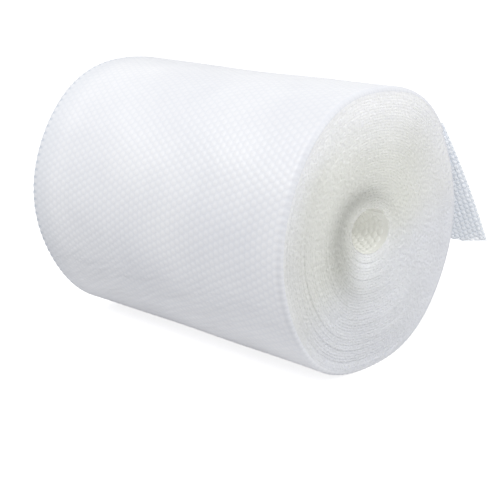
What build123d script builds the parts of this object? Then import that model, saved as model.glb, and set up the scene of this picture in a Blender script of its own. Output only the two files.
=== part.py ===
"""A roll of air-bubble film lying on its side.

One long soft sheet is wound on itself, without a tube, around an off-round hole.
The roll slumps a little under its own weight, so it has a small flat spot below.
The free end of the sheet leaves the roll high on its back and hangs down.

Millimetres. +X runs along the roll to the end that shows, +Y to the back where the
tail hangs, +Z up. The origin is on the floor, below the roll's axis, at mid-length.
"""

import os
from math import cos, radians, sin, sqrt

from build123d import *

# The roll
film_width = 500.0
axis_height = 204.5
mean_radius = 213.7
rim_bevel = 7.0
rim_easing = 2.6

# The roll's slump: each lobe adds its height to the radius at its crest angle.
# Angles are in degrees, from the back, rising over the top.
lean_height = 1.6
lean_crest = 163.0
squash_height = 5.4
squash_crest = -25.0
shoulder_height = 1.9
shoulder_crest = -45.0
ripple_height = 1.6
ripple_crest = -2.0

# The hole through the middle
hole_half_width = 44.0
hole_half_height = 31.0
hole_tilt = -12.0
hole_shift_back = 5.5
hole_shift_down = 2.0

# The wound turns: sixteen are drawn for about forty real ones
turn_count = 16
gap_share = 0.36
gap_depth = 5.0
gap_start = 300.0

# The dished ends: a slight slope all the way in, and the dish from part of the way on
slope_depth = 3.0
dish_depth = 12.0
dish_start = 0.4
dish_power = 1.3

# The tail, which is the free end of the outermost turn
film_thickness = 4.0
tail_angle = 37.0
tail_length = 263.0
tail_overlap = 25.0

# The tail's cut end isn't square. At each of these shares of the width, counted from the
# edge that shows, it is longer than there by the length below.
cut_places = (0.16, 0.5, 0.8, 1.0)
cut_extras = (24.0, 16.8, 26.4, 14.4)

half_width = film_width / 2
hole_centre = (hole_shift_back, axis_height - hole_shift_down)
flats_per_turn = 32
outline_corners = 12
hole_corners = 4
heading_step = 0.1


def outer_radius(angle):
    """Radius of the outermost turn: the mean radius and the four lobes of the slump."""
    lobes = (
        (1, lean_height, lean_crest),
        (2, squash_height, squash_crest),
        (4, shoulder_height, shoulder_crest),
        (6, ripple_height, ripple_crest),
    )
    swell = sum(height * cos(radians(count * (angle - crest))) for count, height, crest in lobes)
    return mean_radius + swell


def hole_radius(angle):
    """Radius of the oval hole, seen from its own centre."""
    turned = radians(angle - hole_tilt)
    return 1 / sqrt((cos(turned) / hole_half_width) ** 2 + (sin(turned) / hole_half_height) ** 2)


def outline_point(angle):
    """Point of the roll's outline at an angle."""
    radius = outer_radius(angle)
    return (radius * cos(radians(angle)), axis_height + radius * sin(radians(angle)))


def hole_point(angle):
    """Point of the hole's edge at an angle."""
    radius = hole_radius(angle)
    return (hole_centre[0] + radius * cos(radians(angle)), hole_centre[1] + radius * sin(radians(angle)))


def heading(curve_point, angle):
    """Direction of a closed curve at an angle, from two points close to it."""
    before, after = Vector(curve_point(angle - heading_step)), Vector(curve_point(angle + heading_step))
    return (after - before).normalized()


def arcs_round(curve_point, corners, first_corner=0.0):
    """Smooth ring of arcs through evenly spaced corners of a closed curve.

    Two arcs leave one corner and reach the next along the curve's own direction,
    and meet where both are as long a way from their corners.
    """
    for corner in range(corners):
        first = first_corner + 360 * corner / corners
        last = first_corner + 360 * (corner + 1) / corners
        start, end = Vector(curve_point(first)), Vector(curve_point(last))
        leave, arrive = heading(curve_point, first), heading(curve_point, last)
        gap = end - start
        along = gap.dot(leave + arrive)
        bend = 2 * (1 - leave.dot(arrive))
        reach = (sqrt(along**2 + bend * gap.dot(gap)) - along) / bend
        joint = (start + end + (leave - arrive) * reach) / 2
        TangentArc(start, joint, tangent=leave)
        TangentArc(end, joint, tangent=-arrive)


def turn_point(angle, inset=0.0):
    """Point of the winding, angle degrees in from where the tail leaves the roll.

    Both the radius and the centre pass evenly from the outline to the hole.
    The inset moves the point inwards by that part of a turn.
    """
    share = (angle / 360 + inset) / turn_count
    around = tail_angle + angle
    radius = (1 - share) * outer_radius(around) + share * hole_radius(around)
    centre_y = share * hole_centre[0]
    centre_z = (1 - share) * axis_height + share * hole_centre[1]
    return (centre_y + radius * cos(radians(around)), centre_z + radius * sin(radians(around)))


def turn_points(first, last, inset=0.0):
    """Corners of the winding from one angle to another: the film bends in short flats."""
    count = round(abs(last - first) * flats_per_turn / 360)
    return [turn_point(first + (last - first) * number / count, inset) for number in range(count + 1)]


def turn_depth(turn):
    """How far a turn's edge lies inside the outermost one."""
    share = turn / turn_count
    dished = max(0.0, (share - dish_start) / (1 - dish_start))
    return slope_depth * share + dish_depth * dished**dish_power


# The near half of the roll, wound on both sides of mid-length alike
end_plane = Plane.YZ.offset(half_width)

# The tail's upper face touches the outermost turn, and its Y runs down along the film
tail_heading = -heading(outline_point, tail_angle)
tail_start = Vector(0, *outline_point(tail_angle))
tail_down = Vector(0, tail_heading.X, tail_heading.Y)
tail_plane = Plane(tail_start, x_dir=(1, 0, 0), z_dir=Vector(1, 0, 0).cross(tail_down))
tail_end_points = [(half_width, tail_length)]
for place, extra in zip(cut_places, cut_extras):
    tail_end_points.append((half_width - place * film_width, tail_length + extra))

with BuildPart() as film_roll:
    with BuildSketch(Plane.YZ):
        with BuildLine():
            arcs_round(outline_point, outline_corners)
        make_face()
    extrude(amount=half_width)
    chamfer(film_roll.faces().sort_by(Axis.X)[-1].edges(), rim_bevel)
    bevel_rings = film_roll.edges().group_by(Axis.X)
    chamfer(bevel_rings[-1] + bevel_rings[-3], rim_easing)

    # Each turn's edge lies a little deeper than the one outside it
    for turn in range(1, turn_count):
        outside = gap_start + 360 * (turn - 1)
        with BuildSketch(end_plane):
            with BuildLine():
                Polyline(*turn_points(outside, outside + 360), close=True)
            make_face()
        extrude(amount=-turn_depth(turn), mode=Mode.SUBTRACT)

    # The spiral gap between one turn and the next
    for turn in range(1, turn_count):
        outside = gap_start + 360 * (turn - 1)
        with BuildSketch(end_plane):
            with BuildLine():
                outer_side = turn_points(outside, outside + 360)
                inner_side = turn_points(outside + 360, outside, gap_share)
                Polyline(*outer_side, *inner_side, close=True)
            make_face()
        extrude(amount=-turn_depth(turn) - gap_depth, mode=Mode.SUBTRACT)

    with BuildSketch(Plane.YZ):
        with BuildLine():
            arcs_round(hole_point, hole_corners, hole_tilt)
        make_face()
    extrude(amount=half_width, mode=Mode.SUBTRACT)
    mirror(about=Plane.YZ)

    # The tail runs straight on from the outermost turn, and its cut end isn't square
    with BuildSketch(tail_plane):
        with BuildLine():
            cut_end = Spline(*tail_end_points)
            Polyline(cut_end @ 1, (-half_width, -tail_overlap), (half_width, -tail_overlap), cut_end @ 0)
        make_face()
    extrude(amount=-film_thickness)
    split(bisect_by=Plane.XY, keep=Keep.TOP)

film_roll.part.label = "film_roll"
os.makedirs("parts", exist_ok=True)
export_step(film_roll.part, "parts/film_roll.step")
print("volume", round(film_roll.part.volume / 1e6, 2), "litres", film_roll.part.bounding_box().size)
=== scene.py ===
# %% [markdown]
# A roll of air-bubble film, lying on its side.
# The real thing is one soft sheet, about thirty-six metres of it, wound on itself without a tube.
# The CAD part gives the frame: sizes, the flat spot, the hole and the hanging tail.
# Here the same shape gets what the eye looks for in such a roll: thousands of bubbles.
# They could be a bump texture, but their edges and rims also show from the side.
# So the skin, both ends, the hole and the tail are surfaces worked out with numpy.
# Sizes of the film are in millimetres, and they become metres when a mesh is made.
# Finishes, lamps and the camera are placed in metres.

from math import pi, radians

import bpy
import numpy as np
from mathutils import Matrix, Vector


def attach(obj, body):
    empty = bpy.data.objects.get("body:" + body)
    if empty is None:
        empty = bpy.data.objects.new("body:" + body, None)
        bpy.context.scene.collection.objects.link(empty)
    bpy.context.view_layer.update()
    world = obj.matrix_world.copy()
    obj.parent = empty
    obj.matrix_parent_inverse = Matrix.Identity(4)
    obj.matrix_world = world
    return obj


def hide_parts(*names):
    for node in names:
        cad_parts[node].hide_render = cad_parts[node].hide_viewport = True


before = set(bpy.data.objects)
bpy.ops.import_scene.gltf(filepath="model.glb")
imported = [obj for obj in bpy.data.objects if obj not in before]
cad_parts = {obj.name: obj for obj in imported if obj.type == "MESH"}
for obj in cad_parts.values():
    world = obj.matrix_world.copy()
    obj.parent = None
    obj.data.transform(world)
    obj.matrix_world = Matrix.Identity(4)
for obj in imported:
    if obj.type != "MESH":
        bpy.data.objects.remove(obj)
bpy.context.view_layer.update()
scene = bpy.context.scene

# %% [markdown]
# The camera stands in front and to the right, a little above the roll, and looks at its end.
# Its place and its lens follow from the photograph's perspective: the two end ovals,
# the long edges and the cut end of the tail all fall into place with one pinhole camera.

# %% Camera
camera_data = bpy.data.cameras.new("photo_camera")
camera_data.sensor_width = 36.0
camera_data.lens = 76.32
camera_data.clip_start = 0.05
camera_data.clip_end = 50.0
camera = bpy.data.objects.new("photo_camera", camera_data)
camera.location = (1.05353, -1.20281, 0.63357)
camera.rotation_euler = (radians(72.453), 0.0, radians(40.930))
scene.collection.objects.link(camera)
scene.camera = camera
print("camera at", [round(c, 3) for c in camera.location], "lens", camera_data.lens)

# %% [markdown]
# The roll isn't round. It slumps under its own weight, and it has a small flat spot below.
# Its outline is a mean radius plus four gentle waves round the axis.
# The hole through the middle is a tilted oval, a little off the axis.
# A wound turn anywhere between them is a blend of the two curves.

# %% The roll's section, as in the CAD part
HALF_WIDTH = 250.0
AXIS_HEIGHT = 204.5
MEAN_RADIUS = 213.7
# Each wave of the outline: its count round the axis, its height and the angle of its crest
LOBES = ((1, 1.6, 163.0), (2, 5.4, -25.0), (4, 1.9, -45.0), (6, 1.6, -2.0))
HOLE_HALF_WIDTH, HOLE_HALF_HEIGHT, HOLE_TILT = 44.0, 31.0, -12.0
HOLE_BACK, HOLE_DOWN = 5.5, 2.0
TAIL_ANGLE = 37.0
TURNS = 42


def outer_radius(angle):
    """Mean radius plus, for each lobe, its height times the cosine of count * (angle - crest)."""
    waves = (high * np.cos(np.radians(count * (angle - crest))) for count, high, crest in LOBES)
    return MEAN_RADIUS + sum(waves)


def hole_radius(angle):
    """Polar form of an oval: one over the root of (cos / half width)^2 + (sin / half height)^2."""
    turned = np.radians(angle - HOLE_TILT)
    wide, high = np.cos(turned) / HOLE_HALF_WIDTH, np.sin(turned) / HOLE_HALF_HEIGHT
    return 1.0 / np.sqrt(wide**2 + high**2)


def section_point(angle, share, inset=0.0):
    """Point (y, z) on the curve that is share of the way from the outline (0) to the hole (1).

    Radius and centre are both blended evenly, the inset is taken off the radius,
    and nothing goes below the floor, which makes the flat spot.
    """
    radius = (1 - share) * outer_radius(angle) + share * hole_radius(angle) - inset
    y = share * HOLE_BACK + radius * np.cos(np.radians(angle))
    z = AXIS_HEIGHT - share * HOLE_DOWN + radius * np.sin(np.radians(angle))
    return y, np.maximum(z, 0.0)


print("outline radius at the tail:", round(float(outer_radius(TAIL_ANGLE)), 1), "mm")

# %% [markdown]
# Every piece below ends as a mesh, so one helper puts whole arrays into Blender.
# It takes points, faces of three or four corners, a UV map in millimetres of film,
# and any values that a material wants to read. Nothing is looped over vertex by vertex.

# %% From arrays to a mesh
MM_PER_METRE = 1000.0


def surface(name, points, faces, film_uv=None, values=None):
    """A piece from (n, 3) points in millimetres and a list of (m, 3) or (m, 4) corner arrays."""
    mesh = bpy.data.meshes.new(name)
    corners = np.concatenate([f.ravel() for f in faces]).astype(np.int32)
    sizes = np.concatenate([np.full(len(f), f.shape[1]) for f in faces])
    starts = np.concatenate([[0], np.cumsum(sizes)[:-1]]).astype(np.int32)
    mesh.vertices.add(len(points))
    mesh.vertices.foreach_set("co", (points / MM_PER_METRE).astype(np.float32).ravel())
    mesh.loops.add(len(corners))
    mesh.loops.foreach_set("vertex_index", corners)
    mesh.polygons.add(len(sizes))
    mesh.polygons.foreach_set("loop_start", starts)
    mesh.polygons.foreach_set("use_smooth", np.ones(len(sizes), dtype=bool))
    if film_uv is not None:
        layer = mesh.uv_layers.new(name="film")
        layer.uv.foreach_set("vector", film_uv[corners].astype(np.float32).ravel())
    for key, value in (values or {}).items():
        attribute = mesh.attributes.new(key, "FLOAT", "POINT")
        attribute.data.foreach_set("value", value.astype(np.float32).ravel())
    mesh.update(calc_edges=True)
    mesh.validate()
    piece = bpy.data.objects.new(name, mesh)
    scene.collection.objects.link(piece)
    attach(piece, "root")
    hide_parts("film_roll")
    print(f"{name}: {len(points)} points, {int((sizes - 2).sum())} triangles")
    return piece


def corner_faces(number):
    """Four-cornered faces between the neighbours in a grid of point numbers."""
    around = [number[:-1, :-1], number[1:, :-1], number[1:, 1:], number[:-1, 1:]]
    return np.stack(around, axis=-1).reshape(-1, 4)


def grid_faces(rows, columns):
    """Faces of a grid whose points are numbered row by row."""
    return corner_faces(np.arange(rows * columns).reshape(rows, columns))


print("the two faces of a grid of 2 by 3 points:", grid_faces(2, 3).tolist())

# %% [markdown]
# The bubbles sit in rows that run round the roll. Each is ten millimetres across,
# the next one in its row is 11.2 mm on, and neighbouring rows are shifted by half of that.
# One function says how far any place on the film is from its nearest bubble's centre.
# The skin's shape and the bubbles of the hole and the tail all follow it.
# Wound film is never quite straight, so a second function lets the rows drift a little.

# %% The bubble pattern
BUBBLE_PITCH = 11.22
BUBBLE_ROWS = 54
ROW_STEP = 2 * HALF_WIDTH / BUBBLE_ROWS
BUBBLE_RADIUS = 4.9
# Each wave of the drift: its height, and its lengths across the film and along it
DRIFT_WAVES = ((2.4, 61.0, 310.0), (1.1, 23.0, -140.0))
SIDE_DRIFT, SIDE_DRIFT_LENGTH, SIDE_DRIFT_START = 1.5, 97.0, 0.9


def bubble_distance(along, across):
    """Distance to the nearest bubble's centre: the nearer of two sets of rows, plain grids both."""
    distances = []
    for shift in (0.0, 0.5):
        u = (along / BUBBLE_PITCH + shift + 0.5) % 1.0 - 0.5
        v = (across / (2 * ROW_STEP) + shift + 0.5) % 1.0 - 0.5
        distances.append(np.hypot(u * BUBBLE_PITCH, v * 2 * ROW_STEP))
    return np.minimum(*distances)


def film_drift(along, across):
    """Place on the film as it was made, for a place on the roll: the place plus slow sine waves.

    The drift to the side is a parabola across, so the film's two edges stay where they are.
    """
    onward = sum(high * np.sin(across / wide + along / long) for high, wide, long in DRIFT_WAVES)
    sideways = SIDE_DRIFT * np.sin(along / SIDE_DRIFT_LENGTH + SIDE_DRIFT_START)
    return along + onward, across + sideways * (1 - (across / HALF_WIDTH) ** 2)


print("bubbles round the roll:", round(2 * pi * MEAN_RADIUS / BUBBLE_PITCH), "rows:", BUBBLE_ROWS)

# %% [markdown]
# The skin is the outermost turn. On this roll the flat side of the film is outside,
# so each bubble only swells it by a little. The turn ends one film thickness lower
# than it starts, under the tail, so the skin has a small step there.
# At both ends the edge is soft and round, and in the middle the roll is drawn in a bit.

# %% The wound skin's shape
RIM_ROUND = 7.0
TURN_STEP = 4.0
DROP_START = 0.84
SWELL, SWELL_FADE = 0.6, 12.0
SCALLOP = 1.1
WAIST = 1.6
# The soft dents: their depth, and for each wave its count round the roll and its length across
DENT_DEPTH = 0.45
DENT_WAVES = ((3, 70.0), (11, -41.0))


def turn_drop(part):
    """How far into the next turn one turn has sunk: nothing until late, then all, smoothly."""
    late = np.clip((part - DROP_START) / (1 - DROP_START), 0.0, 1.0)
    return late * late * (3 - 2 * late)


def skin_points(part, across):
    """Points of the skin, part of a turn on from the tail's root and across from mid-length.

    The outline is lowered by the turn's drop, by the waist, which is a parabola, and by the
    quarter round of the rim, which dips a little between two bubbles. Each bubble raises
    the skin like a cap, one minus distance squared, and two slow waves stand for soft dents.
    """
    along = 2 * pi * MEAN_RADIUS * part
    past = np.clip(np.abs(across) - (HALF_WIDTH - RIM_ROUND), 0.0, RIM_ROUND)
    round_off = RIM_ROUND - np.sqrt(RIM_ROUND**2 - past**2)
    inner = 1 - (across / HALF_WIDTH) ** 2
    waves = sum(np.sin(2 * pi * count * part + across / long) for count, long in DENT_WAVES)
    dents = DENT_DEPTH * inner * waves
    distance = bubble_distance(*film_drift(along, across))
    cap = np.clip(1 - (distance / BUBBLE_RADIUS) ** 2, 0.0, 1.0)
    fade = np.clip((HALF_WIDTH - np.abs(across)) / SWELL_FADE, 0.0, 1.0)
    between = 0.5 - 0.5 * np.cos(2 * pi * along / BUBBLE_PITCH)
    scallop = SCALLOP * np.sin(pi * past / RIM_ROUND) * between
    lowered = TURN_STEP * turn_drop(part) + WAIST * inner + dents + round_off + scallop
    y, z = section_point(TAIL_ANGLE + 360.0 * part, 0.0, lowered + SWELL * (1 - cap) * fade)
    return np.stack([across + 0 * y, y, z], axis=-1)


print("the skin's step at the tail:", TURN_STEP, "mm, its waist:", WAIST, "mm")

# %% [markdown]
# The grid has four of its rows to each row of bubbles, six of its columns to a bubble,
# and rows of its own in the two rims, where the skin turns over.
# Its last column is its first one again, which closes the step under the tail.
# A heavy mesh is hard to share, so the skin is cut into three rings that meet exactly.

# %% The wound skin's three rings
SKIN_COLUMNS = 720
SKIN_ROWS = 216
SKIN_RINGS = 3
RIM_ANGLES = [22.0, 45.0, 66.0, 90.0]
part = np.linspace(0.0, 1.0, SKIN_COLUMNS + 1)
middle = np.linspace(-1.0, 1.0, SKIN_ROWS + 1) * (HALF_WIDTH - RIM_ROUND)
rim = HALF_WIDTH - RIM_ROUND + RIM_ROUND * np.sin(np.radians(RIM_ANGLES))
across = np.concatenate([-rim[::-1], middle, rim])
skin_grid = skin_points(part[None, :], across[:, None])
skin_grid = np.concatenate([skin_grid, skin_grid[:, :1]], axis=1)
along = 2 * pi * MEAN_RADIUS * np.append(part, 1.0)
skin_uv = np.stack(film_drift(*np.broadcast_arrays(along[None, :], across[:, None])), axis=-1)
cuts = [len(across) // SKIN_RINGS * ring for ring in range(SKIN_RINGS)] + [len(across) - 1]
skin_pieces = []
for ring in range(SKIN_RINGS):
    rows = slice(cuts[ring], cuts[ring + 1] + 1)
    block, block_uv = skin_grid[rows], skin_uv[rows].reshape(-1, 2)
    faces = grid_faces(*block.shape[:2])[:, ::-1]
    skin_pieces.append(surface(f"wound_skin_{ring + 1}", block.reshape(-1, 3), [faces], block_uv))

# %% [markdown]
# Each end shows the edges of all the turns. They make fine lines that wind inwards,
# and between two lines the ends of the bubbles show as small cells.
# The grid of an end winds inwards with the film: its rows follow the turns, and where a row
# comes full circle it goes on as the row one turn further in.

# %% Where the turns lie on an end
END_COLUMNS = 480
LINES_PER_TURN = 4
EVEN_AFTER_TURNS = 3.0
END_ROWS = (TURNS - 1) * LINES_PER_TURN + 1


def wound_share(row, part):
    """Share of the way in, for a row of the winding and a part of a turn.

    The row gives the turns so far. Within a turn the share grows by one more turn:
    evenly inside the roll, and late in the turn at its outline, as the skin does.
    """
    inner = np.clip(row / (EVEN_AFTER_TURNS * LINES_PER_TURN), 0.0, 1.0)
    grows = (1 - inner) * turn_drop(part) + inner * part
    return (row / LINES_PER_TURN + grows) / TURNS


def end_faces():
    """Grid faces whose last column is the first column of the row one turn further in."""
    number = np.arange(END_ROWS * (END_COLUMNS + 1)).reshape(END_ROWS, END_COLUMNS + 1)
    number[:-LINES_PER_TURN, -1] = number[LINES_PER_TURN:, 0]
    return corner_faces(number)


print("rows on each end:", END_ROWS, "faces:", len(end_faces()))

# %% [markdown]
# How deep a place on an end lies is a sum. The first part is shared by all the turns:
# a shallow dish, a soft hollow above and in front of the hole where the turns have slid in,
# and the lip where the last turns roll in. Powers and bell curves give such soft forms.

# %% The dish, the hollow and the lip
SLOPE_DEPTH = 3.0
DISH_START, DISH_DEPTH, DISH_POWER = 0.40, 11.0, 1.3
HOLLOW_DEPTH, HOLLOW_ANGLE, HOLLOW_POWER = 4.5, 145.0, 1.5
HOLLOW_SHARE, HOLLOW_WIDTH = 0.87, 0.12
LIP_DEPTH, LIP_START, LIP_REACH = 1.0, 0.94, 0.04


def facing(angle, towards):
    """One in the direction that it faces and nothing behind it: half of one plus the cosine."""
    return 0.5 + 0.5 * np.cos(np.radians(angle - towards))


def bell(distance, width):
    """Bell curve: e to the power of minus the square of distance over width."""
    return np.exp(-((distance / width) ** 2))


def dish_depth(angle, share):
    """Depth that all the turns share: the dish, the hollow and the lip.

    The dish is nearly flat outside, and then deepens with a power of the share. The hollow
    is a bell curve of the share times a power of the facing. The lip deepens as a square.
    """
    way_down = np.clip((share - DISH_START) / (1 - DISH_START), 0.0, 1.0)
    dish = SLOPE_DEPTH * share + DISH_DEPTH * way_down**DISH_POWER
    towards = facing(angle, HOLLOW_ANGLE) ** HOLLOW_POWER
    hollow = HOLLOW_DEPTH * towards * bell(share - HOLLOW_SHARE, HOLLOW_WIDTH)
    lip = LIP_DEPTH * np.clip((share - LIP_START) / LIP_REACH, 0.0, 1.0) ** 2
    return dish + hollow + lip


print("depth at the lip behind the hole:", round(float(dish_depth(0.0, 1.0)), 1), "mm")

# %% [markdown]
# The second part is each turn's own. No turn lies quite as deep as its neighbours, so each
# has a small offset that changes slowly round the roll, and the ends of its bubbles make
# cells between two lines of film. The offsets are random, but they come from a fixed seed,
# so an end looks the same each time that the script runs.

# %% Each turn's offset and cells
# How deep a turn's four lines lie at a bubble, and how much deeper between two bubbles
CELL_DEPTHS = np.array([0.0, 0.7, 0.5, 0.8])
CELL_GAPS = np.array([0.0, 0.7, 1.1, 0.8])
TURN_OFFSET = 0.45
WAVE_COUNT, WAVE_SPREAD = 14, 3.7
SLOWEST_WAVE, FASTEST_WAVE = 0.15, 2.4
SMOOTH_TURNS = 2.0


def turn_depth(row, wound, seed):
    """Depth that each turn adds: its offset and its cells, which fade in over the first turns.

    The offset is a sum of slow sine waves of the turns wound so far. The film's edge is the
    high line of each turn, and between two lines the bubbles reach further out than the gaps
    between them: a cosine of the length wound over the pitch says where a bubble is.
    """
    random = np.random.default_rng(seed)
    wave = np.zeros_like(wound)
    for _ in range(WAVE_COUNT):
        pace, start = random.uniform(SLOWEST_WAVE, FASTEST_WAVE), random.uniform(0, 2 * pi)
        wave = wave + np.sin(2 * pi * pace * wound + start) / WAVE_SPREAD
    first_bubble = random.uniform(0, 1, TURNS + 1)[row // LINES_PER_TURN]
    turn_length = 2 * pi * (MEAN_RADIUS - TURN_STEP * wound)
    bubbles = turn_length * (wound % 1.0) / BUBBLE_PITCH + first_bubble
    presence = 0.5 + 0.5 * np.cos(2 * pi * bubbles)
    line = row % LINES_PER_TURN
    cell = CELL_DEPTHS[line] + CELL_GAPS[line] * (1 - presence)
    soft = np.clip(row / (SMOOTH_TURNS * LINES_PER_TURN), 0.0, 1.0)
    return soft * (cell + TURN_OFFSET * (1 + wave))


print("deepest cell:", float((CELL_DEPTHS + CELL_GAPS).max()), "mm")

# %% [markdown]
# Three values go along with each point for the finish to read: the way in from the rim,
# the painted shade that lies in the hollow, and a painted patch of light below the hole,
# where the wall of the hollow faces up. They could be painted by hand, but worked out
# like this they follow the turns.

# %% The two ends
SHADE_ANGLE, SHADE_SHARE, SHADE_WIDTH, SHADE_LEAN = 155.0, 0.825, 0.145, 0.055
PALE_PLACE, PALE_RADIUS = (-8.0, 153.0), 34.0


def end_points(side, seed):
    """Points of one end, as (rows, columns + 1), and the values for its finish.

    The place in the section comes from the share, and the depth is the sum of its two parts.
    The painted shade is the facing times a bell curve of the share. That band lies further
    in, and is narrower, towards the upper back, by a lean of sine plus cosine. The painted
    patch of light is a bell curve of the distance from its centre.
    """
    row = np.arange(END_ROWS)[:, None]
    part = np.linspace(0.0, 1.0, END_COLUMNS + 1)[None, :]
    share = wound_share(row, part)
    angle = TAIL_ANGLE + 360.0 * part
    y, z = section_point(angle, share, RIM_ROUND * (1 - share))
    depth = dish_depth(angle, share) + turn_depth(row, row // LINES_PER_TURN + part, seed)
    points = np.stack([side * (HALF_WIDTH - depth), y, z], axis=-1)
    lean = SHADE_LEAN * (np.sin(np.radians(angle)) + np.cos(np.radians(angle)))
    shade = facing(angle, SHADE_ANGLE) * bell(share - SHADE_SHARE - lean, SHADE_WIDTH - lean)
    lit_patch = bell(np.hypot(y - PALE_PLACE[0], z - PALE_PLACE[1]), PALE_RADIUS)
    return points, {"way_in": share, "hollow_shade": shade, "lit_patch": lit_patch}


end_pieces, lips = [], []
for name, side, seed in (("wound_end_shown", 1, 4), ("wound_end_far", -1, 9)):
    points, values = end_points(side, seed)
    # The corners are taken backwards on the shown end, so that the faces of both point outwards
    faces = end_faces()[:, ::-side]
    end_pieces.append(surface(name, points.reshape(-1, 3), [faces], values=values))
    lips.append(points[-1])

# %% [markdown]
# Bubbles that stand free, in the hole and on the tail, are low round caps.
# A bump could fake them, but here they are seen from the side, against the light.
# One cap is three rings of ten points with a top, and it is copied to every place at once.

# %% Free bubbles
BUBBLE_HEIGHT = 4.0
CAP_SIDES = 10
# Each ring of a cap: its share of the radius and its share of the height
CAP_RINGS = ((1.0, 0.0), (0.94, 0.62), (0.62, 0.92))
FILM_BORDER = 1.0


def cap_pattern():
    """Offsets (along, across, height) of one cap, and its faces: rings that narrow, and a top."""
    turn = 2 * pi * np.arange(CAP_SIDES) / CAP_SIDES
    u, v = BUBBLE_RADIUS * np.cos(turn), BUBBLE_RADIUS * np.sin(turn)
    rings = [np.stack([u * wide, v * wide, high + 0 * turn], axis=-1) for wide, high in CAP_RINGS]
    offsets = np.concatenate(rings + [[[0.0, 0.0, 1.0]]])
    this, after = np.arange(CAP_SIDES), (np.arange(CAP_SIDES) + 1) % CAP_SIDES
    wall = np.stack([this, after, after + CAP_SIDES, this + CAP_SIDES], axis=-1)
    walls = np.concatenate([wall + CAP_SIDES * ring for ring in range(len(CAP_RINGS) - 1)])
    last = CAP_SIDES * (len(CAP_RINGS) - 1)
    top = np.stack([this + last, after + last, np.full(CAP_SIDES, len(offsets) - 1)], axis=-1)
    return offsets, walls, top


def bubble_centres(length):
    """Centres (along, across) of all bubbles on a length of film of the roll's whole width."""
    rows = np.arange(-(BUBBLE_ROWS // 2), BUBBLE_ROWS // 2 + 1)
    steps = np.arange(0, int(length / BUBBLE_PITCH) + 2)
    across = rows[:, None] * ROW_STEP + 0 * steps[None, :]
    along = (steps[None, :] - 0.5 * (rows[:, None] % 2)) * BUBBLE_PITCH
    keep = (np.abs(across) < HALF_WIDTH - FILM_BORDER) & (along > 0) & (along < length)
    return along[keep], across[keep]


def caps_on(place, along, across):
    """All caps at once: each centre plus the offsets goes through place(along, across, height)."""
    offsets, walls, top = cap_pattern()
    u = along[:, None] + offsets[None, :, 0]
    v = np.clip(across[:, None] + offsets[None, :, 1], -HALF_WIDTH, HALF_WIDTH)
    points = place(u, v, offsets[None, :, 2] * BUBBLE_HEIGHT + 0 * u)
    first = len(offsets) * np.arange(len(along))[:, None, None]
    return points.reshape(-1, 3), [(f[None] + first).reshape(-1, f.shape[1]) for f in (walls, top)]


print("one cap has", len(cap_pattern()[0]), "points")

# %% [markdown]
# The hole is the inside of the innermost turn. Its wall takes the last row of the two ends
# as its edge, so no gap is left. Its bubbles point into the hole. The layers behind them
# press them together, so they stand up by only part of their height.

# %% The hole's wall and bubbles
HOLE_ROWS = 60
# Shares of the film's width and of a bubble's height that the bubbles in the hole take up
HOLE_REACH = 0.92
PRESSED = 0.3
# Film without bubbles, along a seam and along the cut end
BARE_EDGE = 6.0
lip_shown, lip_far = lips
down_hole = np.linspace(0.0, 1.0, HOLE_ROWS + 1)[:, None, None]
wall_grid = lip_far[None] * (1 - down_hole) + lip_shown[None] * down_hole
wall_grid = np.concatenate([wall_grid, wall_grid[:, :1]], axis=1)
hole_wall = surface("hole_wall", wall_grid.reshape(-1, 3), [grid_faces(*wall_grid.shape[:2])])
hole_length = float(np.hypot(*np.diff(lip_shown[:, 1:], axis=0).T).sum())


def hole_place(along, across, height):
    """Point in the hole: along its wall by part of a turn, lifted by part of the height."""
    part = np.clip(along / hole_length, 0.0, 1.0)
    share = wound_share((TURNS - 1.0) * LINES_PER_TURN, part)
    y, z = section_point(TAIL_ANGLE + 360.0 * part, share, PRESSED * height)
    return np.stack([across * HOLE_REACH, y, z], axis=-1)


cap_points, cap_faces = caps_on(hole_place, *bubble_centres(hole_length - BARE_EDGE))
hole_bubbles = surface("hole_bubbles", cap_points, [f[:, ::-1] for f in cap_faces])
print("way round the hole:", round(hole_length, 1), "mm")

# %% [markdown]
# The tail is the free end of the film. It leaves the roll high on its back and hangs
# down in a gentle curve. The cut end isn't straight, as if the film was torn by hand.
# A cloth simulation could drop it, but film is stiffer than cloth and this piece is short,
# so a straight run with a slight bow and soft waves is closer to the real one.

# %% The tail's shape
TAIL_LENGTH = 263.0
TAIL_LAP, LAP_SINK = 10.0, 0.05
TAIL_BOW = 5.0
CUT_GROWTH, CUT_GROWTH_REACH = 24.0, 70.0
CUT_WAVER, CUT_WAVER_LENGTH, CUT_WAVER_REACH = 2.2, 17.0, 60.0
# Each wave at the cut end: its height, its length across and its start
TAIL_WAVES = ((1.8, 29.0, 0.6), (1.2, 13.0, 2.0))
TAIL_WAVES_GROWTH = 1.5
root = np.array(section_point(TAIL_ANGLE, 0.0))
near_root = np.array(section_point(TAIL_ANGLE + 0.1, 0.0))
down = (root - near_root) / np.linalg.norm(root - near_root)
outward = np.array([-down[1], down[0]])


def cut_length(across):
    """Length of the tail where it is cut: it grows away from the shown corner, and wavers."""
    gap = HALF_WIDTH - across
    grown = CUT_GROWTH * (1 - np.exp(-gap / CUT_GROWTH_REACH))
    waver = CUT_WAVER * np.sin(gap / CUT_WAVER_LENGTH) * np.clip(gap / CUT_WAVER_REACH, 0, 1)
    return TAIL_LENGTH + grown + waver


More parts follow.
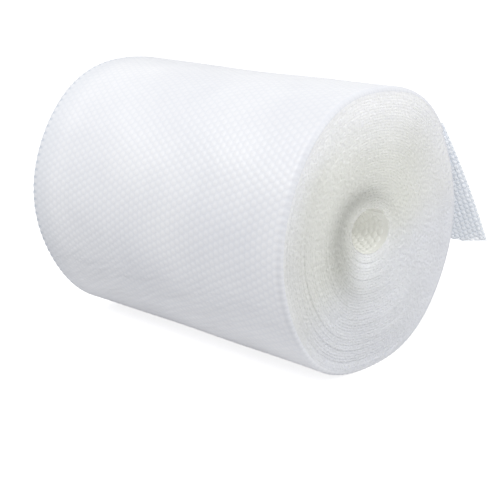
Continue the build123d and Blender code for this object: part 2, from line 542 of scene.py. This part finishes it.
def tail_place(along, across, depth):
    """Point of the tail: along the film from its root, and depth below its outer face.

    Above the root it is tucked just under the skin. Below, it runs on straight, plus a bow
    that is half a sine wave, and soft waves across that grow towards the cut end.
    """
    lapped = np.clip(along, -TAIL_LAP, 0.0)
    angle = TAIL_ANGLE - np.degrees(lapped / outer_radius(TAIL_ANGLE))
    waist = WAIST * (1 - (across / HALF_WIDTH) ** 2)
    y, z = section_point(angle, 0.0, waist - LAP_SINK * lapped)
    free = np.maximum(along, 0.0)
    way = free / TAIL_LENGTH
    bow = TAIL_BOW * np.sin(pi * np.minimum(way, 1.0))
    waves = sum(high * np.sin(across / long + start) for high, long, start in TAIL_WAVES)
    lift = bow + way**TAIL_WAVES_GROWTH * waves - depth
    y = y + down[0] * free + outward[0] * lift
    z = z + down[1] * free + outward[1] * lift
    return np.stack([across + 0 * y, y, z], axis=-1)


print("the tail leaves at", np.round(root, 1).tolist(), "and runs", np.round(down, 2).tolist())

# %% [markdown]
# One layer of film is thin, but it has two sides. So the sheet is a closed shell:
# an outer face, an inner face, and a strip all round that joins their edges.

# %% The tail's sheet
FILM_THICKNESS = 0.35
TAIL_ROWS, TAIL_COLUMNS = 108, 78
tail_across = np.linspace(-HALF_WIDTH, HALF_WIDTH, TAIL_ROWS + 1)[:, None]
share_along = np.linspace(0.0, 1.0, TAIL_COLUMNS + 1)[None, :]
tail_along = -TAIL_LAP + (cut_length(tail_across) + TAIL_LAP) * share_along
tail_across = tail_across + 0 * tail_along
both_sides = [tail_place(tail_along, tail_across, depth) for depth in (0.0, FILM_THICKNESS)]
number = np.arange(tail_along.size).reshape(tail_along.shape)
border = np.concatenate([number[0, :-1], number[:-1, -1], number[-1, :0:-1], number[:0:-1, 0]])
after = np.roll(border, -1)
edge = np.stack([border, after, after + number.size, border + number.size], axis=-1)
one_side = corner_faces(number)
sheet_uv = np.stack([tail_along, tail_across], axis=-1).reshape(-1, 2)
tail_film = surface(
    "tail_film",
    np.concatenate([points.reshape(-1, 3) for points in both_sides]),
    [one_side[:, ::-1], one_side + number.size, edge],
    np.concatenate([sheet_uv, sheet_uv]),
)

# %% [markdown]
# The tail's bubbles are on the side towards the roll, which is the side that the camera
# sees. The film is left bare close to the roll and along the cut end.

# %% The tail's bubbles
LONGEST_EXTRA = 30.0
along, across = bubble_centres(TAIL_LENGTH + LONGEST_EXTRA)
held = (along < cut_length(across) - BARE_EDGE) & (along > BARE_EDGE)


def tail_bubble_place(along, across, height):
    """Point on a bubble of the tail: its height is a depth below the film's inner face."""
    return tail_place(along, across, FILM_THICKNESS + height)


tail_bubbles = surface("tail_bubbles", *caps_on(tail_bubble_place, along[held], across[held]))

# %% [markdown]
# The film is clear polyethylene, but so many layers of it look like white milk.
# Where the sheet is single, as on the tail, it is see-through and a little blue.
# Such finishes are built of nodes. A few helpers place a node, set its plain inputs
# and link the others, so that the lines below can say what is mixed with what.

# %% Helpers for nodes
def new_group(name, inputs, outputs):
    """A node group with named sockets. Inputs are (name, type, default), outputs (name, type)."""
    group = bpy.data.node_groups.new(name, "ShaderNodeTree")
    for label, kind, default in inputs:
        socket = group.interface.new_socket(label, in_out="INPUT", socket_type=kind)
        if default is not None:
            socket.default_value = default
    for label, kind in outputs:
        group.interface.new_socket(label, in_out="OUTPUT", socket_type=kind)
    return group, group.nodes.new("NodeGroupInput"), group.nodes.new("NodeGroupOutput")


def feed(tree, socket, value):
    """Link an input to another node's output, or set it to a plain value."""
    if isinstance(value, bpy.types.NodeSocket):
        tree.links.new(value, socket)
    else:
        socket.default_value = value


def add_node(tree, kind, settings=None, **inputs):
    """A node with its settings, and its inputs fed by name, or by number as i0, i1 and so on."""
    node = tree.nodes.new(kind)
    for key, value in (settings or {}).items():
        setattr(node, key, value)
    for key, value in inputs.items():
        numbered = key[0] == "i" and key[1:].isdigit()
        feed(tree, node.inputs[int(key[1:]) if numbered else key.replace("_", " ")], value)
    return node


def number_node(tree, operation, *values):
    """A Math node, by its operation and its values or links. Gives its result."""
    inputs = {f"i{place}": value for place, value in enumerate(values)}
    return add_node(tree, "ShaderNodeMath", {"operation": operation}, **inputs).outputs[0]


def smooth_mask(tree, value, none_at, full_at, full=1.0):
    """A mask that rises smoothly from nothing, where the value is none_at, to full at full_at."""
    settings = {"interpolation_type": "SMOOTHSTEP"}
    ends = {"From_Min": none_at, "From_Max": full_at, "To_Max": full}
    return add_node(tree, "ShaderNodeMapRange", settings, Value=value, **ends).outputs[0]


print("node groups before the first one is built:", len(bpy.data.node_groups))

# %% [markdown]
# Two effects are shared by the finishes, so each is a node group that is built once.
# The first repeats the bubble pattern from the UV map, by the same distance as in numpy
# above: a mask for the bubbles, and one for the ring where the two films are sealed.

# %% A node group for the bubble pattern
CAP_EDGE, CAP_FULL = BUBBLE_RADIUS + 0.3, BUBBLE_RADIUS - 2.4
SEAL_EDGE, SEAL_FULL = 0.9, 0.1
pattern, pattern_in, pattern_out = new_group(
    "bubble_pattern",
    [("Film", "NodeSocketVector", None)],
    [("Bubble", "NodeSocketFloat"), ("Seal", "NodeSocketFloat")],
)
film_axes = add_node(pattern, "ShaderNodeSeparateXYZ", i0=pattern_in.outputs["Film"]).outputs
distances = []
for shift in (0.0, 0.5):
    squares = []
    for axis, period in enumerate((BUBBLE_PITCH, 2 * ROW_STEP)):
        place = number_node(pattern, "DIVIDE", film_axes[axis], period)
        place = number_node(pattern, "WRAP", number_node(pattern, "ADD", place, shift), 0.5, -0.5)
        offset = number_node(pattern, "MULTIPLY", place, period)
        squares.append(number_node(pattern, "MULTIPLY", offset, offset))
    distances.append(number_node(pattern, "SQRT", number_node(pattern, "ADD", *squares)))
nearest = number_node(pattern, "MINIMUM", *distances)
from_ring = number_node(pattern, "SUBTRACT", nearest, BUBBLE_RADIUS)
from_ring = number_node(pattern, "ABSOLUTE", from_ring)
bubble_mask = smooth_mask(pattern, nearest, none_at=CAP_EDGE, full_at=CAP_FULL)
seal_mask = smooth_mask(pattern, from_ring, none_at=SEAL_EDGE, full_at=SEAL_FULL)
feed(pattern, pattern_out.inputs["Bubble"], bubble_mask)
feed(pattern, pattern_out.inputs["Seal"], seal_mask)
print("group:", pattern.name, [s.name for s in pattern.interface.items_tree])

# %% [markdown]
# The second effect is the film's cloudiness. Air, dust and creases make soft lighter and
# darker places of all sizes. It reads Object coordinates, so it stays where it is.

# %% A node group for cloudiness
def value_range(tree, value, **ends):
    """A value carried evenly from one range to another, with the ends that are named."""
    return add_node(tree, "ShaderNodeMapRange", Value=value, **ends).outputs[0]


def mix_colours(tree, factor, first, second, blend="MIX"):
    """Colour mix of two colours or links by a factor."""
    settings = {"data_type": "RGBA", "blend_type": blend}
    return add_node(tree, "ShaderNodeMix", settings, i0=factor, i6=first, i7=second).outputs[2]


cloud, cloud_in, cloud_out = new_group(
    "film_clouds",
    [
        ("Size", "NodeSocketFloat", 9.0),
        ("Low", "NodeSocketColor", (0.8, 0.8, 0.8, 1)),
        ("High", "NodeSocketColor", (0.9, 0.9, 0.9, 1)),
    ],
    [("Color", "NodeSocketColor")],
)
where = add_node(cloud, "ShaderNodeTexCoord").outputs["Object"]
size = cloud_in.outputs["Size"]
noise = add_node(
    cloud, "ShaderNodeTexNoise", Vector=where, Scale=size, Detail=5.0, Roughness=0.55
)
spread = value_range(cloud, noise.outputs[0], From_Min=0.3, From_Max=0.7)
tone = mix_colours(cloud, spread, cloud_in.outputs["Low"], cloud_in.outputs["High"])
feed(cloud, cloud_out.inputs["Color"], tone)
print("group:", cloud.name, [s.name for s in cloud.interface.items_tree])

# %% [markdown]
# The finishes share a soft gloss: real film is smooth, but it is never flat for long,
# so its highlights are broad. Uniform values are set on the shader's own sockets, and
# only what changes over the surface is linked: colour, glow, see-through and bump.

# %% Helpers for finishes
def bare_tree(owner, output_kind="ShaderNodeOutputMaterial"):
    """The emptied node tree of a material or world, and the Surface input of its output."""
    owner.use_nodes = True
    owner.node_tree.nodes.clear()
    return owner.node_tree, owner.node_tree.nodes.new(output_kind).inputs["Surface"]


def new_finish(name, **uniform):
    """A material with a Principled shader and its uniform values. Gives all three."""
    material = bpy.data.materials.new(name)
    tree, seen_surface = bare_tree(material)
    shader = add_node(tree, "ShaderNodeBsdfPrincipled", **uniform)
    feed(tree, seen_surface, shader.outputs[0])
    return material, tree, shader


def use_group(tree, group, **inputs):
    """A placed copy of a node group. Gives its outputs."""
    node = tree.nodes.new("ShaderNodeGroup")
    node.node_tree = group
    for key, value in inputs.items():
        feed(tree, node.inputs[key], value)
    return node.outputs


def cloudy(tree, size, low, high):
    """The colour of the film's clouds, between a low and a high colour."""
    return use_group(tree, cloud, Size=size, Low=low, High=high)["Color"]


def film_nodes(tree):
    """The film's own coordinates from the UV map, and the masks for bubbles and seals."""
    film_map = add_node(tree, "ShaderNodeUVMap", {"uv_map": "film"}).outputs[0]
    masks = use_group(tree, pattern, Film=film_map)
    return film_map, masks["Bubble"], masks["Seal"]


print("groups to place in the finishes:", [group.name for group in bpy.data.node_groups])

# %% [markdown]
# On the skin the lattice is faint: the bubbles are as pale as the clouds, and the web
# between them is a shade darker. Towards the far end the whole skin is a little darker, as painted
# shade.
# Both rims show a row of short dashes, where the film's edge cuts through bubbles. They
# are a cosine along the film, faint at the shown rim and clearer at the far one.

# %% The skin's finish: colour
FAR_RIM = -HALF_WIDTH
skin_finish, tree, shader = new_finish(
    "wound_film",
    Roughness=0.42,
    IOR=1.5,
    Coat_Weight=0.15,
    Coat_Roughness=0.3,
    Emission_Strength=0.09,
)
film_map, bubble, seal = film_nodes(tree)
clouds = cloudy(tree, 7.0, (0.782, 0.793, 0.832, 1), (0.864, 0.872, 0.898, 1))
web = mix_colours(tree, 1.0, clouds, (0.965, 0.97, 0.98, 1), "MULTIPLY")
colour = mix_colours(tree, bubble, web, clouds)
faint_seal = number_node(tree, "MULTIPLY", seal, 0.12)
colour = mix_colours(tree, faint_seal, colour, (0.66, 0.70, 0.76, 1))
film_axes = add_node(tree, "ShaderNodeSeparateXYZ", i0=film_map).outputs
on_film, over_film = film_axes[0], film_axes[1]
# Painted shade: the skin is made darker towards the far end.
far_end_shade = smooth_mask(tree, over_film, none_at=FAR_RIM + 60.0, full_at=FAR_RIM + 12.0, full=0.5)
colour = mix_colours(tree, far_end_shade, colour, (0.69, 0.715, 0.765, 1))
near_rim = smooth_mask(
    tree, over_film, none_at=HALF_WIDTH - 6.5, full_at=HALF_WIDTH - 2.5, full=0.14
)
far_rim = smooth_mask(tree, over_film, none_at=FAR_RIM + 14.0, full_at=FAR_RIM + 8.0, full=0.4)
rims = number_node(tree, "ADD", near_rim, far_rim)
wave = number_node(tree, "COSINE", number_node(tree, "MULTIPLY", on_film, 2 * pi / BUBBLE_PITCH))
dash = value_range(tree, wave, From_Min=0.3, From_Max=-0.9)
dashes = number_node(tree, "MULTIPLY", rims, dash)
colour = mix_colours(tree, dashes, colour, (0.36, 0.43, 0.53, 1))
feed(tree, shader.inputs["Base Color"], colour)
print("finish:", skin_finish.name, "with", len(tree.nodes), "nodes")

# %% [markdown]
# The floor throws light back at the lowest turns, and a very faint glow stands for it.
# Low down the slack film also falls into soft creases, which are long and slant a little.
# So a noise is drawn out along the roll and turned, and it raises the film as a bump.
# A bump is enough, because such creases are far too shallow to show in the outline.

# %% The skin's finish: light from the floor, and creases
CREASE_SLANT = (0, 0, 0.35)
CREASE_SIZE = (20.0, 110.0, 1.0)


def object_place(tree):
    """Where a point is on the object, in metres: the whole place, its y and its z."""
    spot = add_node(tree, "ShaderNodeTexCoord").outputs["Object"]
    axes = add_node(tree, "ShaderNodeSeparateXYZ", i0=spot).outputs
    return spot, axes[1], axes[2]


def glow_where(tree, shader, mask, colour):
    """Make the shader glow in a colour where the mask is full, and not at all where it is none."""
    feed(tree, shader.inputs["Emission Color"], mix_colours(tree, mask, (0, 0, 0, 1), colour))


def raise_by(tree, shader, height, strength, distance):
    """Let a height raise the surface as a bump, by up to a distance in metres."""
    bump = add_node(
        tree, "ShaderNodeBump", Strength=strength, Distance=distance, Height=height
    )
    feed(tree, shader.inputs["Normal"], bump.outputs[0])


_, _, above_floor = object_place(tree)
bounce = smooth_mask(tree, above_floor, none_at=0.13, full_at=0.05)
glow_where(tree, shader, bounce, (1.0, 0.99, 0.98, 1))
slack = smooth_mask(tree, above_floor, none_at=0.19, full_at=0.09)
drawn_out = add_node(
    tree,
    "ShaderNodeMapping",
    {"vector_type": "TEXTURE"},
    Vector=film_map,
    Rotation=CREASE_SLANT,
    Scale=CREASE_SIZE,
).outputs[0]
creases = add_node(
    tree, "ShaderNodeTexNoise", Vector=drawn_out, Scale=1.0, Detail=2.0, Distortion=0.6
).outputs[0]
creased = number_node(tree, "MULTIPLY", creases, slack)
raise_by(tree, shader, creased, strength=0.6, distance=0.006)
print("finish:", skin_finish.name, "with", len(tree.nodes), "nodes")

# %% [markdown]
# The ends look through many edges of film, so light scatters a little below the surface.
# The rim is nearly white, and further in the film has a faint olive tone, by a colour ramp.
# The ramp is partly the film's own tone and partly painted light: its paler rim and lip
# stand for light that comes in through the outer and inner turns. Masks that read the
# height, and how far back a place is, do the rest: the end is white again at the top, as
# painted light from above, paler at the back, cooler low down, as painted cool light on
# the wall that faces up, and greyer in front, as painted shade.

# %% The ends' finish: colour from the rim to the hole
# Each stop of the ramp: its way in, and its colour
WAY_IN_COLOURS = (
    (0.0, (0.95, 0.96, 0.98, 1)),
    (0.05, (0.91, 0.92, 0.93, 1)),
    (0.25, (0.82, 0.828, 0.785, 1)),
    (0.88, (0.83, 0.838, 0.785, 1)),
    (0.97, (0.85, 0.856, 0.81, 1)),
)
SLANT = -0.3
end_finish, tree, shader = new_finish(
    "film_edges",
    Roughness=0.36,
    IOR=1.5,
    Coat_Weight=0.3,
    Coat_Roughness=0.2,
    Subsurface_Weight=0.5,
    Subsurface_Radius=(1.0, 1.0, 0.94),
    Subsurface_Scale=0.006,
    Emission_Strength=0.07,
)


def mesh_value(tree, name):
    """A value that the mesh carries under a name."""
    return add_node(tree, "ShaderNodeAttribute", {"attribute_name": name}).outputs["Fac"]


# The ramp's paler rim and lip are partly painted light.
ramp = add_node(tree, "ShaderNodeValToRGB", i0=mesh_value(tree, "way_in"))
while len(ramp.color_ramp.elements) < len(WAY_IN_COLOURS):
    ramp.color_ramp.elements.new(0.5)
for element, (place, stop_colour) in zip(ramp.color_ramp.elements, WAY_IN_COLOURS):
    element.position = place
    element.color = stop_colour
spot, back, above_floor = object_place(tree)
# Painted light: the top of the end is made lighter, for light from above that comes through it.
top_lit_from_above = smooth_mask(tree, above_floor, none_at=0.29, full_at=0.40, full=0.9)
colour = mix_colours(tree, top_lit_from_above, ramp.outputs[0], (0.97, 0.975, 0.985, 1))
to_back = smooth_mask(tree, back, none_at=0.07, full_at=0.16, full=0.6)
colour = mix_colours(tree, to_back, colour, (0.89, 0.895, 0.91, 1))
# Painted light: low down the end is tinted cooler, for sky light on the wall that faces up.
slanted = number_node(tree, "MULTIPLY_ADD", back, SLANT, above_floor)
cool_light_below = smooth_mask(tree, slanted, none_at=0.21, full_at=0.12, full=0.8)
colour = mix_colours(tree, cool_light_below, colour, (0.815, 0.83, 0.88, 1))
# Painted shade: low in front the end is made greyer and darker.
in_front = smooth_mask(tree, back, none_at=-0.10, full_at=-0.19)
below = smooth_mask(tree, above_floor, none_at=0.31, full_at=0.20, full=0.65)
front_low_shade = number_node(tree, "MULTIPLY", in_front, below)
colour = mix_colours(tree, front_low_shade, colour, (0.76, 0.765, 0.745, 1))
print("finish:", end_finish.name, "with", len(tree.nodes), "nodes")

# %% [markdown]
# The hollow round the hole gets painted shade, as if the turns above it shaded it, and the
# patch below the hole gets painted light, as if lit where its wall faces up. Both masks are
# the mesh's own values. The top glows a little, because light comes through it. A fine cell
# noise, as a bump, stands for crinkled edges of film that are too small for the mesh.

# %% The ends' finish: shade, glow and crinkles
CRINKLES_PER_METRE = 230.0
# Painted shade: the hollow round the hole is darkened.
shade = number_node(tree, "MULTIPLY", mesh_value(tree, "hollow_shade"), 0.9)
colour = mix_colours(tree, shade, colour, (0.50, 0.506, 0.47, 1))
# Painted light: the patch below the hole is made paler.
painted_lit_patch = number_node(tree, "MULTIPLY", mesh_value(tree, "lit_patch"), 0.7)
colour = mix_colours(tree, painted_lit_patch, colour, (0.95, 0.965, 0.985, 1))
clouds = cloudy(tree, 16.0, (0.94, 0.94, 0.94, 1), (1.0, 1.0, 1.0, 1))
colour = mix_colours(tree, 1.0, colour, clouds, "MULTIPLY")
feed(tree, shader.inputs["Base Color"], colour)
top = smooth_mask(tree, above_floor, none_at=0.35, full_at=0.415)
glow_where(tree, shader, top, (0.96, 0.98, 1.0, 1))
crinkle = add_node(tree, "ShaderNodeTexVoronoi", Vector=spot, Scale=CRINKLES_PER_METRE)
raise_by(tree, shader, crinkle.outputs["Distance"], strength=0.6, distance=0.002)
print("finish:", end_finish.name, "with", len(tree.nodes), "nodes")

# %% [markdown]
# Inside the hole light comes through the film from all sides, so nothing there is dark.
# A little even glow stands for it, which is quicker to render than light that really
# scatters through a tunnel.

# %% The hole's finish
hole_finish, tree, shader = new_finish(
    "inner_film",
    Roughness=0.35,
    IOR=1.5,
    Emission_Color=(1.0, 0.99, 0.955, 1),
    Emission_Strength=0.1,
)
clouds = cloudy(tree, 20.0, (0.78, 0.785, 0.745, 1), (0.87, 0.875, 0.84, 1))
feed(tree, shader.inputs["Base Color"], clouds)
print("finish:", hole_finish.name, "with", len(tree.nodes), "nodes")

# %% [markdown]
# The tail is one layer, and what lies behind it shows through. Glass would bend the light,
# which film as thin as this doesn't, so it is made see-through by its alpha instead.
# The film is clearest in the bubbles and veiled where it is sealed round them.

# %% The tail's finish
# Painted light: a faint blue glow stands for light that comes through the film from behind.
tail_finish, tree, shader = new_finish(
    "clear_film",
    Roughness=0.16,
    IOR=1.45,
    Emission_Color=(0.9, 0.95, 1.0, 1),
    Emission_Strength=0.1,
)
_, bubble, seal = film_nodes(tree)
clouds = cloudy(tree, 12.0, (0.86, 0.91, 0.98, 1), (0.94, 0.97, 1.0, 1))
ring = number_node(tree, "MULTIPLY", seal, 0.3)
feed(tree, shader.inputs["Base Color"], mix_colours(tree, ring, clouds, (0.62, 0.69, 0.80, 1)))
veil = value_range(tree, bubble, To_Min=0.50, To_Max=0.34)
veil = number_node(tree, "ADD", veil, number_node(tree, "MULTIPLY", seal, 0.2))
feed(tree, shader.inputs["Alpha"], veil)
raise_by(tree, shader, bubble, strength=0.5, distance=0.0012)
print("finish:", tail_finish.name, "with", len(tree.nodes), "nodes")

# %% [markdown]
# The bubbles on the tail are the clearest and shiniest places of the film. They are see-through
# by half, and a full coat gives each its own small highlight.
# After that every piece gets its finish.

# %% The free bubbles' finish, and a finish for every piece
# Painted light: the tail's bubbles glow faintly, for light that comes through them.
bubble_finish, tree, shader = new_finish(
    "clear_bubbles",
    Roughness=0.12,
    IOR=1.5,
    Alpha=0.5,
    Coat_Weight=1.0,
    Coat_Roughness=0.05,
    Emission_Color=(0.9, 0.95, 1.0, 1),
    Emission_Strength=0.07,
)
clouds = cloudy(tree, 12.0, (0.86, 0.90, 0.96, 1), (0.95, 0.97, 1.0, 1))
feed(tree, shader.inputs["Base Color"], clouds)
for finish, pieces in (
    (skin_finish, skin_pieces),
    (end_finish, end_pieces),
    (hole_finish, [hole_wall, hole_bubbles]),
    (tail_finish, [tail_film]),
    (bubble_finish, [tail_bubbles]),
):
    for piece in pieces:
        piece.data.materials.append(finish)
    print(finish.name, "is on", [piece.name for piece in pieces])

# %% [markdown]
# The room is plain and pale. The floor looks white because the camera sees it as white,
# not because of more light, so the roll's own greys stay, and it keeps a soft shadow.

# %% Floor
FLOOR_REACH = 8
corners = [(x * FLOOR_REACH, y * FLOOR_REACH, 0) for x, y in ((-1, -1), (1, -1), (1, 1), (-1, 1))]
floor_mesh = bpy.data.meshes.new("floor")
floor_mesh.from_pydata(corners, [], [(0, 1, 2, 3)])
floor = bpy.data.objects.new("floor", floor_mesh)
scene.collection.objects.link(floor)
floor_finish = bpy.data.materials.new("floor_white")
tree, seen_surface = bare_tree(floor_finish)
matt = add_node(tree, "ShaderNodeBsdfDiffuse", Color=(0.68, 0.68, 0.69, 1))
paths = tree.nodes.new("ShaderNodeLightPath")
to_camera = number_node(tree, "MULTIPLY", paths.outputs["Is Camera Ray"], 0.7)
white = add_node(tree, "ShaderNodeEmission", Color=(1, 1, 1, 1), Strength=to_camera)
both = add_node(tree, "ShaderNodeAddShader", i0=matt.outputs[0], i1=white.outputs[0])
feed(tree, seen_surface, both.outputs[0])
floor.data.materials.append(floor_finish)
print("floor:", 2 * FLOOR_REACH, "m square")

# %% [markdown]
# The world fills the shadows. It is white where the camera, a reflection or a see-through
# piece shows it, and dimmer as a light. One large soft lamp hangs above and to the left, as
# in the photograph, and a smaller one on the right lights the end.

# %% World and lamps
world = bpy.data.worlds.new("studio")
scene.world = world
tree, seen_surface = bare_tree(world, "ShaderNodeOutputWorld")
paths = tree.nodes.new("ShaderNodeLightPath")
seen = number_node(tree, "MAXIMUM", paths.outputs["Is Camera Ray"], paths.outputs["Is Glossy Ray"])
seen = number_node(tree, "MAXIMUM", seen, paths.outputs["Is Transmission Ray"])
strength = value_range(tree, seen, To_Min=0.63, To_Max=1.0)
sky = add_node(tree, "ShaderNodeBackground", Color=(1.0, 1.0, 1.0, 1), Strength=strength)
feed(tree, seen_surface, sky.outputs[0])


def soft_lamp(name, place, target, size, power):
    """A square area lamp at a place in metres, turned towards a target."""
    lamp = bpy.data.lights.new(name, "AREA")
    lamp.shape = "SQUARE"
    lamp.size = size
    lamp.energy = power
    holder = bpy.data.objects.new(name, lamp)
    holder.location = place
    aim = Vector(target) - Vector(place)
    holder.rotation_euler = aim.to_track_quat("-Z", "Y").to_euler()
    scene.collection.objects.link(holder)


soft_lamp("key", place=(-0.6, -1.3, 1.9), target=(0.0, 0.0, 0.2), size=1.2, power=19.0)
soft_lamp("side", place=(1.3, 0.1, 1.0), target=(0.25, 0.0, 0.25), size=0.7, power=6.6)
scene.view_settings.view_transform = "Standard"
